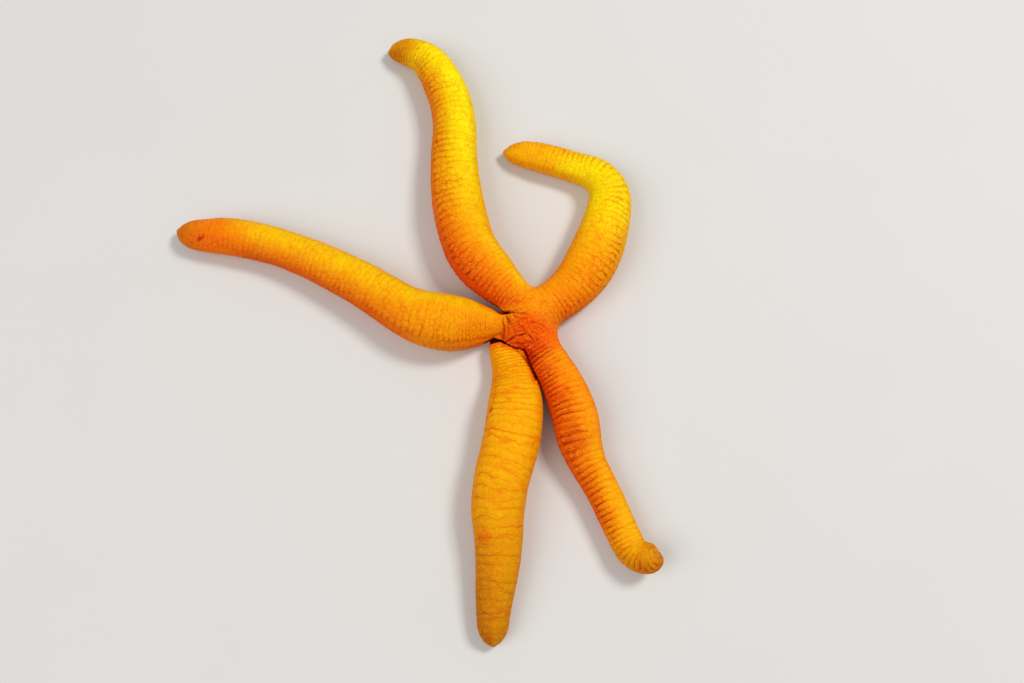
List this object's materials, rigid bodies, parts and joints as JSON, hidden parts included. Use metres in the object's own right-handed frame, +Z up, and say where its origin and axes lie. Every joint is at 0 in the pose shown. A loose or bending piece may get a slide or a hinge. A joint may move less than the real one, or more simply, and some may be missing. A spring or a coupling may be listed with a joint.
{
  "type": "sea star",
  "caption": "Life-size orange sea star with a small disc and long round arms swept into curves, lying on its sole as a still display model.",
  "frame": {"origin": "middle of the animal's footprint, on the surface it lies on; the disc is off to +X because the arms are not alike", "axes": "+Z up from the sole to the back; +Y away from the viewer, along the longest extent, towards the back arm; +X to the viewer's right"},
  "size_m": [0.212, 0.2758, 0.0208],
  "materials": {
    "arm_skin": "moist satin, leathery, cracked into small soft plates, yellow-orange",
    "disc_skin": "moist satin, leathery, folded, orange-red",
    "tip_skin": "moist satin, ringed with wrinkles, ochre-orange to brown",
    "hard_plate": "matte, finely grooved, pale orange",
    "soft_sole": "moist, smooth, pale orange"
  },
  "bodies": {
    "root": {"arm_back_base": "arm_skin", "arm_back_middle": "arm_skin", "arm_back_tip": "tip_skin", "arm_front_base": "arm_skin", "arm_front_middle": "arm_skin", "arm_front_tip": "tip_skin", "arm_hooked_base": "arm_skin", "arm_hooked_bend": "arm_skin", "arm_hooked_middle": "arm_skin", "arm_hooked_tip": "tip_skin", "arm_left_base": "arm_skin", "arm_left_middle": "arm_skin", "arm_left_tip": "tip_skin", "arm_right_base": "arm_skin", "arm_right_curl": "tip_skin", "arm_right_middle": "arm_skin", "disc": "disc_skin", "madreporite": "hard_plate", "mouth_membrane": "soft_sole"}
  },
  "joints": []
}
